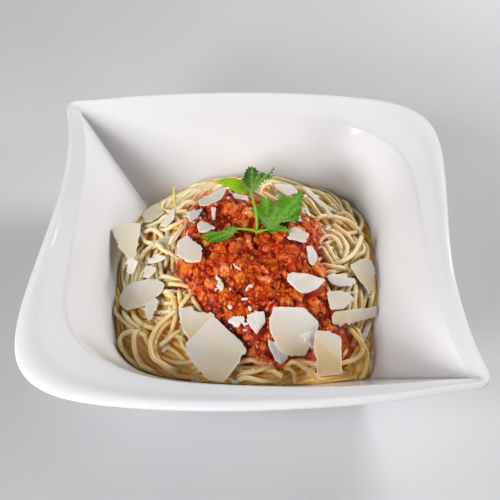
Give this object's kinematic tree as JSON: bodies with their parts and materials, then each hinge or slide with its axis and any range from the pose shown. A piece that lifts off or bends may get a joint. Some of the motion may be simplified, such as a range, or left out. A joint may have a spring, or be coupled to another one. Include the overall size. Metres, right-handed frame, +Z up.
{
  "type": "plate of spaghetti bolognese",
  "caption": "Deep white porcelain plate with a wave-shaped rim, filled with a heap of spaghetti under meat sauce, hard cheese shavings and a parsley sprig",
  "frame": {"origin": "the middle of the plate in plan, in the plane that its foot ring stands on", "axes": "+Z up out of the plate, +Y to the back of the picture, +X to the right of the picture; the pointed corners of the plate lie at the back left and the front right"},
  "size_m": [0.2384, 0.2354, 0.0753],
  "materials": {
    "porcelain": "gloss",
    "pasta": "moist",
    "sauce": "oily",
    "cheese": "dry",
    "leaf": "satin"
  },
  "bodies": {
    "root": {"plate": "porcelain", "spaghetti": "pasta", "bolognese_sauce": "sauce", "cheese_shaving_01": "cheese", "cheese_shaving_02": "cheese", "cheese_shaving_03": "cheese", "cheese_shaving_04": "cheese", "cheese_shaving_05": "cheese", "cheese_shaving_06": "cheese", "cheese_shaving_07": "cheese", "cheese_shaving_08": "cheese", "cheese_shaving_09": "cheese", "cheese_shaving_10": "cheese", "cheese_shaving_11": "cheese", "cheese_shaving_12": "cheese", "cheese_shaving_13": "cheese", "cheese_shaving_14": "cheese", "cheese_shaving_15": "cheese", "cheese_shaving_16": "cheese", "cheese_shaving_17": "cheese", "cheese_shaving_18": "cheese", "cheese_shaving_19": "cheese", "cheese_shaving_20": "cheese", "cheese_shaving_21": "cheese", "cheese_shaving_22": "cheese", "cheese_shaving_23": "cheese", "cheese_shaving_24": "cheese", "cheese_shaving_25": "cheese", "cheese_shaving_26": "cheese", "cheese_shaving_27": "cheese", "cheese_shaving_28": "cheese", "cheese_shaving_29": "cheese", "cheese_shaving_30": "cheese", "cheese_shaving_31": "cheese", "cheese_shaving_32": "cheese", "parsley_sprig": "leaf"}
  },
  "joints": []
}
